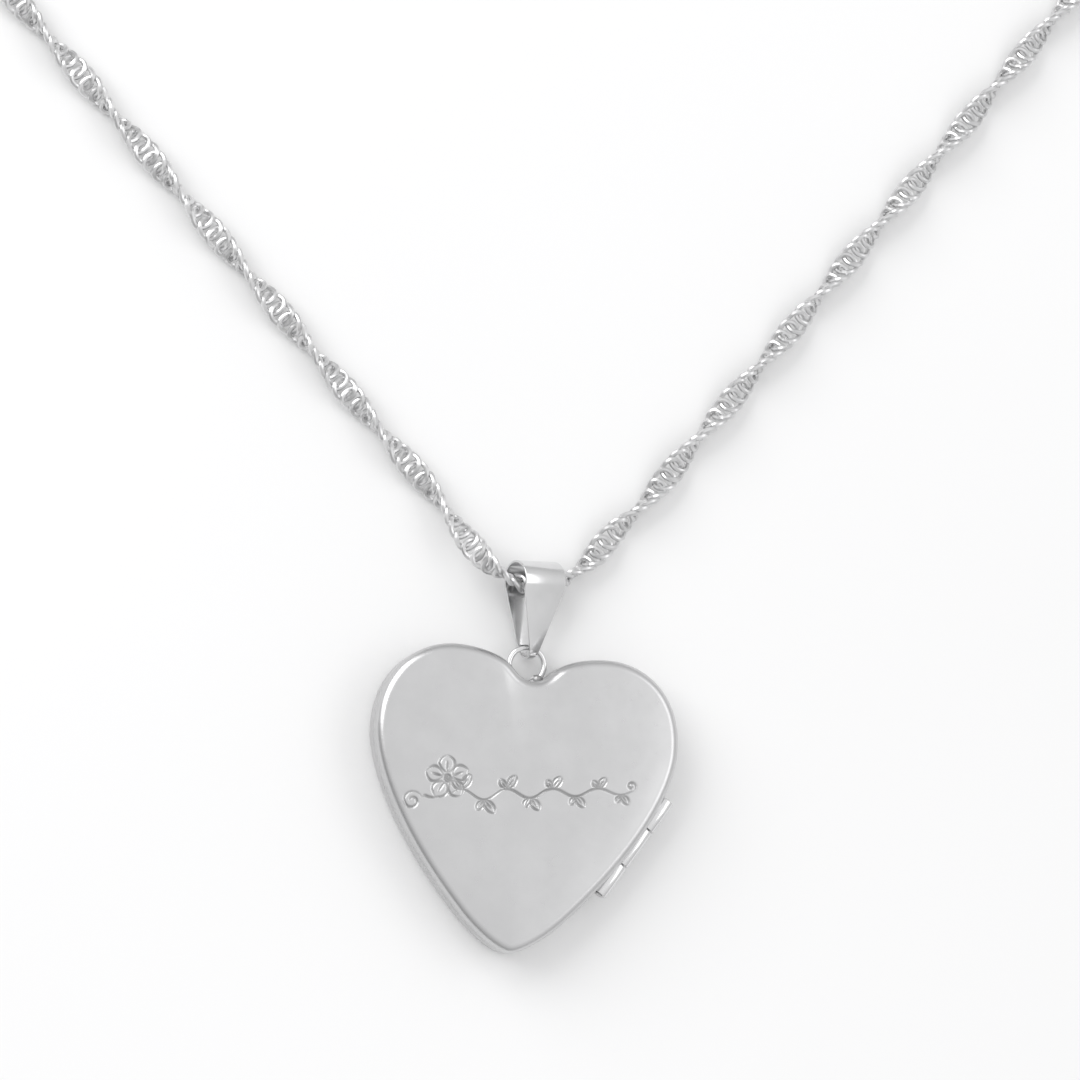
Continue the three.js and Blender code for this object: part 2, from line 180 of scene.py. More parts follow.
# ---- materials -----------------------------------------------------------------------------------
NOISE_ROUGHNESS = 0.55
NOISE_LOW = 0.35  # stretch of the noise that a tone runs over
NOISE_HIGH = 0.65


class Shader:
    """A node material, with short calls for the nodes that it is built from."""

    def __init__(self, name):
        self.material = bpy.data.materials.new(name)
        self.material.use_nodes = True
        self.nodes = self.material.node_tree.nodes
        self.links = self.material.node_tree.links
        self.surface = self.nodes["Principled BSDF"]
        self.place = self.nodes.new("ShaderNodeTexCoord").outputs["Object"]

    def set(self, **values):
        for key, value in values.items():
            self.surface.inputs[key.replace("_", " ")].default_value = value

    def noise(self, per_mm, detail=4.0, stretch=(1, 1, 1)):
        mapping = self.nodes.new("ShaderNodeMapping")
        mapping.inputs["Scale"].default_value = [s * per_mm / MM for s in stretch]
        self.links.new(self.place, mapping.inputs["Vector"])
        noise = self.nodes.new("ShaderNodeTexNoise")
        noise.inputs["Scale"].default_value = 1.0
        noise.inputs["Detail"].default_value = detail
        noise.inputs["Roughness"].default_value = NOISE_ROUGHNESS
        self.links.new(mapping.outputs["Vector"], noise.inputs["Vector"])
        return noise.outputs["Fac"]

    def tint(self, value, dark, light):
        ramp = self.nodes.new("ShaderNodeValToRGB")
        ramp.color_ramp.elements[0].position = NOISE_LOW
        ramp.color_ramp.elements[1].position = NOISE_HIGH
        ramp.color_ramp.elements[0].color = (*dark, 1)
        ramp.color_ramp.elements[1].color = (*light, 1)
        self.links.new(value, ramp.inputs["Fac"])
        self.links.new(ramp.outputs["Color"], self.surface.inputs["Base Color"])

    def paint_wall_shade(self, share):
        """Painted shade: multiplies the base colour where the surface stands upright in the piece's own
        axes, so the walls look shaded.
        """
        split = self.nodes.new("ShaderNodeSeparateXYZ")
        self.links.new(self.nodes.new("ShaderNodeTexCoord").outputs["Normal"], split.inputs["Vector"])
        flat = self.nodes.new("ShaderNodeMath")
        flat.operation = "ABSOLUTE"
        self.links.new(split.outputs["Z"], flat.inputs[0])
        self.scale_base(self.remap(flat.outputs["Value"], (0, 0.8), (share, 1)))

    def darker_grooves(self, share):
        """Multiplies the base colour where the mesh's groove value, 0 to 1, is high."""
        groove = self.nodes.new("ShaderNodeAttribute")
        groove.attribute_name = "groove"
        self.scale_base(self.remap(groove.outputs["Fac"], (0, 1), (1, share)))

    def remap(self, value, given, wanted):
        node = self.nodes.new("ShaderNodeMapRange")
        for name, number in zip(("From Min", "From Max", "To Min", "To Max"), (*given, *wanted)):
            node.inputs[name].default_value = number
        self.links.new(value, node.inputs["Value"])
        return node.outputs["Result"]

    def scale_base(self, amount):
        scale = self.nodes.new("ShaderNodeVectorMath")
        scale.operation = "SCALE"
        base = self.surface.inputs["Base Color"]
        self.links.new(base.links[0].from_socket, scale.inputs[0])
        self.links.new(amount, scale.inputs["Scale"])
        self.links.new(scale.outputs["Vector"], base)

    def rough(self, value, low, high):
        self.links.new(self.remap(value, (0.3, 0.7), (low, high)), self.surface.inputs["Roughness"])

    def bump(self, value, depth_mm, below=None):
        node = self.nodes.new("ShaderNodeBump")
        node.inputs["Strength"].default_value = 1.0
        node.inputs["Distance"].default_value = depth_mm * MM
        self.links.new(value, node.inputs["Height"])
        if below is not None:
            self.links.new(below, node.inputs["Normal"])
        self.links.new(node.outputs["Normal"], self.surface.inputs["Normal"])
        return node.outputs["Normal"]


def silver(name, dark, light, rough, grain=0.0006, brush=None, wave=0.0, wall_shade=1.0, grooves=1.0):
    """Silver with a cloudy tone, uneven polish and a fine grain, brushed one way if asked, with painted
    shade darkening its upright walls if asked.
    """
    s = Shader(name)
    s.set(Metallic=1.0)
    s.tint(s.noise(0.35, detail=5), dark, light)
    # painted shade: the upright walls get a darker base colour
    if wall_shade < 1:
        s.paint_wall_shade(wall_shade)
    if grooves < 1:
        s.darker_grooves(grooves)
    s.rough(s.noise(1.6, detail=6), *rough)
    normal = s.bump(s.noise(14.0, detail=3), grain)
    if brush:
        normal = s.bump(s.noise(9.0, detail=2, stretch=brush), grain * 1.4, normal)
    if wave:
        s.bump(s.noise(0.45, detail=2), wave, normal)
    return s.material


def card_material():
    s = Shader("photo_card")
    s.set(Metallic=0.0)
    s.tint(s.noise(1.2, detail=6), (0.83, 0.81, 0.76), (0.9, 0.88, 0.84))
    s.rough(s.noise(3.0), 0.72, 0.9)
    s.bump(s.noise(22.0, detail=4), 0.004)
    return s.material


def film_material():
    s = Shader("clear_film")
    s.set(Metallic=0.0, IOR=1.46, Alpha=0.18, Base_Color=(0.9, 0.92, 0.93, 1))
    s.rough(s.noise(0.8, detail=4), 0.04, 0.12)
    s.bump(s.noise(0.5, detail=2), 0.004)
    return s.material


# the satin keeps 0.95 of its base colour on its upright walls, as painted shade
SATIN = silver("satin_silver", (0.60, 0.60, 0.603), (0.63, 0.63, 0.633), (0.27, 0.34), 0.0006,
               brush=(0.12, 3.0, 1.0), wave=0.004, wall_shade=0.95, grooves=0.45)
POLISHED = silver("polished_silver", (0.72, 0.72, 0.723), (0.78, 0.78, 0.783), (0.12, 0.22), 0.0004,
                  wave=0.003)
LINKS = silver("link_silver", (0.66, 0.66, 0.662), (0.73, 0.73, 0.732), (0.26, 0.36), 0.0006)
INSIDE = silver("inside_silver", (0.55, 0.55, 0.553), (0.62, 0.62, 0.623), (0.3, 0.42), 0.0012)
SOLDER = silver("solder", (0.36, 0.36, 0.36), (0.5, 0.5, 0.5), (0.3, 0.5), 0.004)

# ---- chain ---------------------------------------------------------------------------------------
# Middle of the chain, mm: from its end ring down the right strand, through the bail, up the left
# strand, and round to the coil of spare length.
ROUTE = [
    (43.9, 74.4, 1.0), (36.4, 63.7, 1.0), (29.0, 53.1, 1.0), (21.5, 42.4, 1.0), (15.2, 33.4, 1.0),
    (10.6, 26.9, 1.0), (7.5, 22.4, 1.0), (5.3, 19.85, 1.0), (3.9, 17.85, 1.0), (2.7, 16.65, 1.1),
    (1.19, 15.72, 1.52), (-0.3, 15.33, 2.17), (-2.05, 15.5, 2.79), (-3.6, 16.25, 2.83),
    (-5.6, 18.3, 1.9), (-7.7, 21.0, 1.05), (-11.5, 24.6, 1.0), (-17.3, 30.1, 1.0),
    (-25.2, 37.7, 1.0), (-33.9, 46.0, 1.0), (-42.6, 54.2, 1.0), (-49.9, 61.1, 1.0),
    (-51.4, 63.4, 1.0), (-51.7, 66.1, 1.0), (-50.8, 68.7, 1.0), (-48.9, 70.6, 1.0),
    (-46.3, 71.5, 1.0), (-38.1, 72.2, 1.0), (-27.2, 73.2, 1.0), (-17.2, 74.1, 1.0),
    (-10.6, 74.7, 1.0),
]
TAIL = [
    (4.1, 76.0, 2.4), (6.5, 76.2, 2.15), (10.0, 76.5, 1.45), (14.0, 76.9, 1.05), (20.0, 77.4, 1.0),
    (30.0, 78.35, 1.0), (39.9, 79.2, 1.0),
]
COIL_CENTRE = (-4.35, 87.29)
COIL_OUTER = 12.0
COIL_INNER = 10.0
COIL_TURNS = 3
COIL_STEPS = 36  # points in each turn
LAYER_HEIGHTS = (1.0, 2.95)
LINK_PITCH = 1.0
LINK_RADIUS = 0.765
LINK_WIRE = 0.195
LINK_SADDLE = 0.27  # how far a link's sides stand out of its plane
LINK_STEPS = 24
LINK_SIDES = 8
TWIST_PITCH = 7.35  # chain length in which the links turn half way round
WIDEST = ((5.1, 19.0), (-4.8, 18.3))  # places where the links lie flat, beside the bail
LINE_SPACING = 0.25  # mm between the points of the chain's line


def smooth_line(points, spacing=0.4):
    """Centripetal Catmull-Rom curve through the points, as evenly fine points."""
    p = np.asarray(points, float)
    p = np.vstack([2 * p[0] - p[1], p, 2 * p[-1] - p[-2]])
    line = []
    for i in range(1, len(p) - 2):
        d0, d1, d2 = (max(np.linalg.norm(p[i + k] - p[i + k - 1]), 1e-9) ** 0.5 for k in (0, 1, 2))
        a = ((p[i] - p[i - 1]) / d0 - (p[i + 1] - p[i - 1]) / (d0 + d1) + (p[i + 1] - p[i]) / d1) * d1
        b = ((p[i + 1] - p[i]) / d1 - (p[i + 2] - p[i]) / (d1 + d2) + (p[i + 2] - p[i + 1]) / d2) * d1
        n = max(2, int(np.linalg.norm(p[i + 1] - p[i]) / spacing))
        t = np.arange(n)[:, None] / n
        line.append(p[i] * (2 * t**3 - 3 * t**2 + 1) + a * (t**3 - 2 * t**2 + t)
                    + p[i + 1] * (3 * t**2 - 2 * t**3) + b * (t**3 - t**2))
    return np.vstack(line + [p[-2][None]])


def ease(x, low, high):
    t = np.clip((x - low) / (high - low), 0, 1)
    return t * t * (3 - 2 * t)


def coil_points():
    """Three turns: round the outside, in, up to the second layer, and out again."""
    turns = np.arange(0, COIL_TURNS * COIL_STEPS + 1) / COIL_STEPS
    radius = COIL_OUTER - (COIL_OUTER - COIL_INNER) * (ease(turns, 0.82, 1.0) - ease(turns, 2.05, 2.25))
    height = LAYER_HEIGHTS[0] + (LAYER_HEIGHTS[1] - LAYER_HEIGHTS[0]) * ease(turns, 1.5, 1.68)
    angle = math.radians(VIEW_TURN - 90) + turns * 2 * math.pi
    return np.column_stack([COIL_CENTRE[0] + radius * np.cos(angle),
                            COIL_CENTRE[1] + radius * np.sin(angle), height])


def lengths(line):
    return np.concatenate([[0], np.cumsum(np.linalg.norm(np.diff(line, axis=0), axis=1))])


def even(line, count):
    """The line again, as this many evenly spaced points."""
    s = lengths(line)
    at = np.linspace(0, s[-1], count)
    return np.column_stack([np.interp(at, s, line[:, k]) for k in range(3)])


def chain_twist(line, s):
    """Angle of the links about the chain's line: the chain is widest at one place on each side of
    the bail, turns once between them, and turns evenly along both strands."""
    right, left = (s[np.argmin(np.linalg.norm(line[:, :2] - place, axis=1))] for place in WIDEST)
    turns = np.interp(s, (right, left), (0, 2))
    turns += np.minimum(s - right, 0) / TWIST_PITCH + np.maximum(s - left, 0) / TWIST_PITCH
    return turns * math.pi


def chain_line():
    """The whole chain's middle, from the end ring to the clasp's link ring."""
    whole = smooth_line(np.vstack([ROUTE, coil_points()[::3], TAIL]))
    return even(whole, int(lengths(whole)[-1] / LINE_SPACING))


def unit_rows(vectors):
    return vectors / np.linalg.norm(vectors, axis=1)[:, None]


def link_mesh():
    """One link about the origin: a round wire bent into a ring with raised and lowered sides."""
    t = np.linspace(0, 2 * math.pi, LINK_STEPS, endpoint=False)
    path = np.column_stack([LINK_RADIUS * np.cos(t), LINK_RADIUS * np.sin(t), LINK_SADDLE * np.sin(2 * t)])
    way = unit_rows(np.roll(path, -1, axis=0) - np.roll(path, 1, axis=0))
    out = unit_rows(path * (1, 1, 0))
    out = unit_rows(out - way * np.einsum("ij,ij->i", out, way)[:, None])
    over = np.cross(way, out)
    b = np.linspace(0, 2 * math.pi, LINK_SIDES, endpoint=False)[None, :, None]
    wire = LINK_WIRE * (np.cos(b) * out[:, None] + np.sin(b) * over[:, None])
    return loft(path[:, None] + wire, closed=True)


def add_chain(line):
    """Links along the line, each turned about it by the chain's twist."""
    s = lengths(line)
    count = int(round(s[-1] / LINK_PITCH)) + 1
    at = np.linspace(0, s[-1], count)
    centre, ahead, behind = (np.column_stack([np.interp(at + d, s, line[:, k]) for k in range(3)])
                             for d in (0, 0.3, -0.3))
    along = unit_rows(ahead - behind)
    side = unit_rows(np.cross((0, 0, 1.0), along))
    up = np.cross(along, side)
    twist = np.interp(at, s, chain_twist(line, s))[:, None]
    flat = side * np.cos(twist) + up * np.sin(twist)
    normal = np.cross(along, flat)
    points, faces = link_mesh()
    placed = (centre[:, None] + points[None, :, :1] * along[:, None]
              + points[None, :, 1:2] * flat[:, None] + points[None, :, 2:] * normal[:, None])
    starts = np.arange(count)[:, None, None] * len(points)
    every = (np.asarray(faces)[None] + starts).reshape(-1, 4)
    chain = piece("chain", "bail_and_chain", "chain_silver", LINKS, placed.reshape(-1, 3), every)
    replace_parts(chain, "chain_run", "chain_coil", "chain_tail")
    return chain


# ---- heart outline -------------------------------------------------------------------------------
HALF_HEART = [  # cubic curves from the notch down the right side to the tip
    [(0, 8.38), (0.95, 8.38), (1.35, 9.14), (1.9, 9.55)],
    [(1.9, 9.55), (2.5, 9.997), (3.9, 10.47), (5.6, 10.47)],
    [(5.6, 10.47), (8.0, 10.47), (11, 8.7), (11, 4.39)],
    [(11, 4.39), (11, 2.15), (9.44, -2.42), (3.73, -8.44)],
    [(3.73, -8.44), (2.66, -9.57), (0.86, -10.89), (0, -10.89)],
]
HEART_CENTRE = np.array((0.0, -0.6))
SHEET = 0.35
EDGE_R = 0.7  # outer rounding from the face to the wall
RIM_ROUND = 0.05
SEAM_Z = 2.0
SEAM_GAP = 0.05
FACE_EDGE_Z = 3.75
PILLOW = 0.25  # rise of the front's middle over its edge
LOOP_STEPS = 360
COVER_STEPS = 800
BACK_DOMES = 12  # rings of the mesh from the middle of the face to its edge
COVER_DOMES = 150


def bezier(curve, t):
    a, b, c, d = (np.asarray(p, float) for p in curve)
    t = np.asarray(t, float)[:, None]
    return (1 - t) ** 3 * a + 3 * (1 - t) ** 2 * t * b + 3 * (1 - t) * t * t * c + t**3 * d


def outline(count):
    """The heart anticlockwise from its tip, as evenly spaced points."""
    down = [bezier(c, np.linspace(0, 1, 200)[:-1]) for c in HALF_HEART]
    down = np.vstack(down + [[HALF_HEART[-1][-1]]])
    loop = np.vstack([down[::-1], down[1:] * (-1, 1)])
    s = lengths(loop)
    at = np.linspace(0, s[-1], count, endpoint=False)
    return np.column_stack([np.interp(at, s, loop[:, k]) for k in (0, 1)])


def inset(loop, distance):
    way = np.roll(loop, -1, axis=0) - np.roll(loop, 1, axis=0)
    way /= np.linalg.norm(way, axis=1)[:, None]
    return loop + np.column_stack([-way[:, 1], way[:, 0]]) * distance


def towards_centre(loop, k):
    return HEART_CENTRE + (loop - HEART_CENTRE) * k


def level(loop, z):
    return np.column_stack([loop, np.broadcast_to(z, len(loop))])


# ---- engraving: a flower and a running vine ------------------------------------------------------
ENGRAVING_TURN = 6.9  # degrees
ENGRAVING_START = (-8.7, -1.35)
FLOWER = np.array((3.3, 1.85))
PETAL_START = 0.34
PETAL_LENGTH = 1.25
PETAL_WIDTH = 0.72
VINE = (3.4, 16.6)
VINE_HEIGHT = 0.62
VINE_SWING = 0.42
VINE_WAVES = 4
GROOVE_HALF = 0.13
GROOVE_DEPTH = 0.085


def flourish():
    """Strokes of the engraving as lines of (x, y, share of the full width)."""
    strokes = []

    def stroke(points, thin=0.35):
        points = np.asarray(points, float)
        s = np.linspace(0, 1, len(points))
        width = thin + (1 - thin) * np.sin(math.pi * s) ** 0.6
        strokes.append(np.column_stack([points, width]))

    def curve(*points, thin=0.35):
        stroke(bezier(points, np.linspace(0, 1, 30)), thin)

    def spiral(centre, start, end, r0, r1, thin=0.35):
        a = np.radians(np.linspace(start, end, 70))
        r = np.linspace(r0, r1, 70)
        stroke(np.column_stack([centre[0] + r * np.cos(a), centre[1] + r * np.sin(a)]), thin)

    def leaf_outline(root, degrees, long, wide):
        out, side = (np.array(tuple(v)[:2]) for v in turned(degrees))
        root = np.array(root)
        for way in (1, -1):
            curve(root, root + out * long * 0.3 + side * way * wide,
                  root + out * long * 0.75 + side * way * wide, root + out * long)
        curve(root, root + out * long * 0.2, root + out * long * 0.5, root + out * long * 0.7, thin=0.2)

    for i in range(5):
        petal_way = 90 + 72 * i
        leaf_outline(FLOWER + PETAL_START * heading(petal_way)[:2], petal_way, PETAL_LENGTH, PETAL_WIDTH)
    spiral(FLOWER, 0, 720, 0.03, 0.3, thin=0.8)
    spiral((0.75, 0.3), 200, -340, 0.12, 0.72)
    curve((1.45, 0.5), (1.75, 0.9), (1.7, 0.3), FLOWER + (-0.5, -1.3))
    vine = []
    for u in np.linspace(0, 1, 200):
        swing = VINE_SWING * (1 - 0.45 * u) * math.sin(u * VINE_WAVES * 2 * math.pi)
        vine.append((VINE[0] + (VINE[1] - VINE[0]) * u, VINE_HEIGHT + swing))
    stroke(vine, thin=0.6)
    for i in range(VINE_WAVES * 2):
        u = (i + 0.5) / (2 * VINE_WAVES)
        root = np.array(vine[int(u * 200)])
        way = 1 if i % 2 == 0 else -1
        size = 1 - 0.35 * u
        leaf_outline(root, way * 52, 1.3 * size, 0.4 * size)
        leaf_outline(root, way * 128, 0.95 * size, 0.3 * size)
    spiral((VINE[1] - 0.02, VINE_HEIGHT + 0.36), -90, 380, 0.36, 0.06)
    across, up = turned(ENGRAVING_TURN)
    placed = []
    for line in strokes:
        x = ENGRAVING_START[0] + line[:, 0] * across.x + line[:, 1] * up.x
        y = ENGRAVING_START[1] + line[:, 0] * across.y + line[:, 1] * up.y
        placed.append(np.column_stack([x, y, line[:, 2]]))
    return placed


def groove_depth(xy):
    """Depth of the engraving at each point of the face."""
    depth = np.zeros(len(xy))
    for line in flourish():
        low = line[:, :2].min(0) - GROOVE_HALF
        high = line[:, :2].max(0) + GROOVE_HALF
        near = np.nonzero(((xy > low) & (xy < high)).all(1))[0]
        for a, b in zip(line[:-1], line[1:]):
            d = b[:2] - a[:2]
            reach = GROOVE_HALF + np.linalg.norm(d)
            close = near[(np.abs(xy[near] - a[:2]) < reach).all(1)]
            if not len(close):
                continue
            t = np.clip((xy[close] - a[:2]) @ d / max(d @ d, 1e-12), 0, 1)
            off = np.linalg.norm(xy[close] - a[:2] - t[:, None] * d, axis=1)
            half = GROOVE_HALF * (a[2] + (b[2] - a[2]) * t)
            here = GROOVE_DEPTH * (a[2] + (b[2] - a[2]) * t) * np.clip(1 - off / half, 0, 1) ** 0.8
            depth[close] = np.maximum(depth[close], here)
    return depth


# ---- shells --------------------------------------------------------------------------------------
def shell(face_z, rim_z, pillow, around, domes, engraved):
    """A pressed half of the locket: its outside from the middle out to the rim, then its inside."""
    s = math.copysign(1, rim_z - face_z)
    loop = outline(around)
    face = inset(loop, EDGE_R)
    rings = []
    for k in np.linspace(0.02, 1, domes):
        xy = towards_centre(face, k)
        z = np.full(around, face_z - s * pillow * (1 - k**4))
        if engraved:
            z += s * groove_depth(xy)
        rings.append(level(xy, z))
    for a in np.radians(np.linspace(0, 90, 13))[1:]:
        z = face_z + s * EDGE_R * (1 - math.cos(a))
        rings.append(level(inset(loop, EDGE_R * (1 - math.sin(a))), z))
    for deep, short in ((0, RIM_ROUND), (RIM_ROUND * 0.3, RIM_ROUND * 0.3), (RIM_ROUND, 0), (SHEET, 0)):
        rings.append(level(inset(loop, deep), rim_z - s * short))
    inner = EDGE_R - SHEET
    for a in np.radians(np.linspace(90, 0, 7)):
        z = face_z + s * (EDGE_R - inner * math.cos(a))
        rings.append(level(inset(loop, EDGE_R - inner * math.sin(a)), z))
    for k in np.linspace(1, 0.05, 10)[1:]:
        rings.append(level(towards_centre(face, k), face_z + s * SHEET - s * pillow * (1 - k * k)))
    top = (*HEART_CENTRE, face_z - s * pillow)
    return loft(rings, ends=[top, (*HEART_CENTRE, top[2] + s * SHEET)])


# ---- hinge, in its own axes: out of the heart, along the hinge, up -------------------------------
HINGE = next(j for j in frame["joints"] if j["name"] == "cover_hinge")
HINGE_ALONG = np.array(HINGE["axis"][:3]) / np.linalg.norm(HINGE["axis"][:3])
HINGE_AWAY = np.array((HINGE_ALONG[1], -HINGE_ALONG[0], 0))
HINGE_CENTRE = np.array(HINGE["pos_m"]) / MM
KNUCKLE_R = 0.62
KNUCKLE_BORE = 0.27
PIN_R = 0.24
GROOVE_R = 0.66  # clearance round the knuckles, cut out of the walls
MIDDLE = (-1.5, 1.5)
UPPER = (1.62, 4.17)
LOWER = (-4.17, -1.62)
BACK_REACH = 0.52  # how far in the leaves' feet stand from the hinge's axis
COVER_REACH = 0.33


def hinge_point(out, along, up):
    return HINGE_CENTRE + HINGE_AWAY * out + HINGE_ALONG * along + np.array((0, 0, 1.0)) * up


def hinge_turned(profile, steps=64, closed=False):
    """Profile of (distance along the hinge, radius), turned about the hinge's axis."""
    a = np.linspace(0, 2 * math.pi, steps, endpoint=False)
    return loft([[hinge_point(r * math.cos(x), y, r * math.sin(x)) for x in a] for y, r in profile],
                closed=closed)


def knuckle_profile(start, end, soft=0.07):
    """Tube with its outer ends rounded and its bore's ends chamfered."""
    near = 0.3 * soft
    return [(start, KNUCKLE_BORE + 0.02), (start, KNUCKLE_R - soft), (start + near, KNUCKLE_R - near),
            (start + soft, KNUCKLE_R), (end - soft, KNUCKLE_R), (end - near, KNUCKLE_R - near),
            (end, KNUCKLE_R - soft), (end, KNUCKLE_BORE + 0.02), (end - 0.03, KNUCKLE_BORE),
            (start + 0.03, KNUCKLE_BORE)]


def leaf(start, end, reach, side):
    """Saddle that blends a knuckle into its shell's wall; side is 1 for the cover."""
    section = [(-reach, 0.3)]
    for a in np.radians(np.linspace(62, 90, 5)):
        section.append((KNUCKLE_R * math.cos(a), KNUCKLE_R * math.sin(a)))
    section += [(-0.03, 0.7), (-0.05, 0.82), (-0.08, 0.96), (-0.13, 1.05), (-0.2, 1.09), (-reach, 1.1)]
    rings = []
    for y, shrink in ((start, 0.05), (start + 0.05, 0.0), (end - 0.05, 0.0), (end, 0.05)):
        rings.append([hinge_point(out - shrink * (out > -reach), y, side * (up - shrink * (up > 1.0)))
                      for out, up in section])
    return loft(rings)


def add_hinge():
    for name, span, body, reach, side in (
        ("hinge_upper", UPPER, "locket_back", BACK_REACH, -1),
        ("hinge_lower", LOWER, "locket_back", BACK_REACH, -1),
        ("hinge_middle", MIDDLE, "locket_cover", COVER_REACH, 1),
    ):
        tube = hinge_turned(knuckle_profile(*span), closed=True)
        obj = piece(name, body, "polished_silver", POLISHED, *joined(tube, leaf(*span, reach, side)))
        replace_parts(obj, "hinge_knuckle_" + name.split("_")[1])
    low, high = LOWER[0], UPPER[1]
    pin = hinge_turned([(low - 0.16, 0.12), (low - 0.15, 0.22), (low - 0.12, 0.31), (low - 0.07, 0.36),
                        (low - 0.035, 0.35), (low - 0.03, PIN_R), (high + 0.07, PIN_R),
                        (high + 0.1, PIN_R - 0.04)], 48)
    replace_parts(piece("pin", "locket_back", "inner_silver", INSIDE, *pin), "hinge_pin")


# ---- locket body ---------------------------------------------------------------------------------
LIP_OUT = 0.38  # insets of the lip's two sides from the heart's outline
LIP_IN = 0.58
LIP_LOW = 0.75
LIP_TOP = 2.45
FRAME_INSET = 0.66
BACK_FRAME = (0.91, 1.40)  # heights of a frame's seat and its face
FRONT_FRAME = (2.84, 2.50)


def add_shells():
    groove = hinge_turned([(LOWER[0] - 0.1, GROOVE_R), (UPPER[1] + 0.1, GROOVE_R)])
    back = piece("back", "locket_back", "satin_silver", SATIN,
                 *shell(0.0, SEAM_Z - SEAM_GAP / 2, 0.0, LOOP_STEPS, BACK_DOMES, False))
    cut(back, groove)
    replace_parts(back, "back_shell")
    cover = piece("cover", "locket_cover", "satin_silver", SATIN,
                  *shell(FACE_EDGE_Z, SEAM_Z + SEAM_GAP / 2, PILLOW, COVER_STEPS, COVER_DOMES, True))
    cut(cover, groove)
    points = np.empty(len(cover.data.vertices) * 3)
    cover.data.vertices.foreach_get("co", points)
    points = points.reshape(-1, 3) / MM
    depth = groove_depth(points[:, :2]) / GROOVE_DEPTH * (points[:, 2] > FACE_EDGE_Z - 2 * GROOVE_DEPTH)
    cover.data.attributes.new("groove", "FLOAT", "POINT").data.foreach_set("value", depth)
    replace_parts(cover, "front_shell")
    for obj in (back, cover):
        obj.data.polygons.foreach_set("use_smooth", [True] * len(obj.data.polygons))
        obj.data.set_sharp_from_angle(angle=math.radians(50))


def add_lip():
    loop = outline(LOOP_STEPS)
    rings = [(LIP_OUT, LIP_LOW), (LIP_OUT, LIP_TOP - 0.17), (LIP_OUT + 0.02, LIP_TOP - 0.09),
             (LIP_OUT + 0.06, LIP_TOP - 0.01), (LIP_OUT + 0.1, LIP_TOP), (LIP_IN - 0.02, LIP_TOP),
             (LIP_IN, LIP_TOP - 0.02), (LIP_IN, LIP_LOW)]
    obj = piece("lip", "locket_back", "inner_silver", INSIDE,
                *loft([level(inset(loop, d), z) for d, z in rings], closed=True))
    cut(obj, hinge_turned([(LOWER[0] - 0.15, GROOVE_R + 0.04), (UPPER[1] + 0.15, GROOVE_R + 0.04)]))
    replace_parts(obj, "seam_lip")


def add_photo_frames():
    loop = inset(outline(LOOP_STEPS), FRAME_INSET)
    for name, body, (seat, face) in (
        ("back", "locket_back", BACK_FRAME),
        ("front", "locket_cover", FRONT_FRAME),
    ):
        s = math.copysign(1, face - seat)
        rings = [level(loop, seat), level(loop, face - s * 0.08),
                 level(towards_centre(loop, 0.996), face)]
        for a in np.radians(np.linspace(0, 90, 7)):
            k = 0.93 - 0.03 * math.sin(a)
            rings.append(level(towards_centre(loop, k), face - s * 0.3 * (1 - math.cos(a))))
        rings.append(level(towards_centre(loop, 0.9), seat))
        obj = piece("frame_" + name, body, "polished_silver", POLISHED, *loft(rings, closed=True))
        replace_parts(obj, "photo_frame_" + name)


# ---- ring and bail -------------------------------------------------------------------------------
RING_CENTRE = (-0.14, 9.72, 1.1)
RING_RADIUS = 1.28
RING_WIRE = 0.208
SOLDER_AT = -48  # degrees round the ring
SOLDER_SIZE = 0.42
BAIL_STRIP = 0.17
BAIL_TIP_R = 0.86  # outer radii of its two ends in side view
BAIL_TOP_R = 1.41
BAIL_LENGTH = 4.84  # between their centres
BAIL_TIP_HALF = 0.2
BAIL_TOP_HALF = 1.73
BAIL_TURNS = (("Y", 24), ("Z", 1.85), ("X", 12))  # degrees, in this order


def add_ring():
    ring = torus(RING_CENTRE, (1, 0, 0), (0, 1, 0), RING_RADIUS, RING_WIRE)
    a = np.linspace(0, 2 * math.pi, 32, endpoint=False)
    x, _, z = RING_CENTRE
    post = [(8.46, 0.2), (8.44, 0.25), (7.8, 0.25), (7.78, 0.22)]
    rod = loft([[(x + r * math.cos(t), y, z + r * math.sin(t)) for t in a] for y, r in post])
    obj = piece("ring", "locket_back", "polished_silver", POLISHED, *joined(ring, rod))
    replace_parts(obj, "top_ring")
    rng = np.random.default_rng(4)
    spot = np.array(RING_CENTRE) + heading(SOLDER_AT) * RING_RADIUS
    rings = []
    for height in np.linspace(-0.96, 0.96, 9):
        wobble = 1 + 0.15 * rng.standard_normal(32)
        wobble = (wobble + np.roll(wobble, 1) + np.roll(wobble, -1)) / 3
        r = SOLDER_SIZE * math.sqrt(1 - height * height) * wobble
        rings.append(np.column_stack([spot[0] + r * np.cos(a), spot[1] + 0.8 * r * np.sin(a),
                                      np.full(32, spot[2] + 0.9 * SOLDER_SIZE * height)]))
    piece("solder_bead", "locket_back", "inner_silver", SOLDER, *loft(rings))


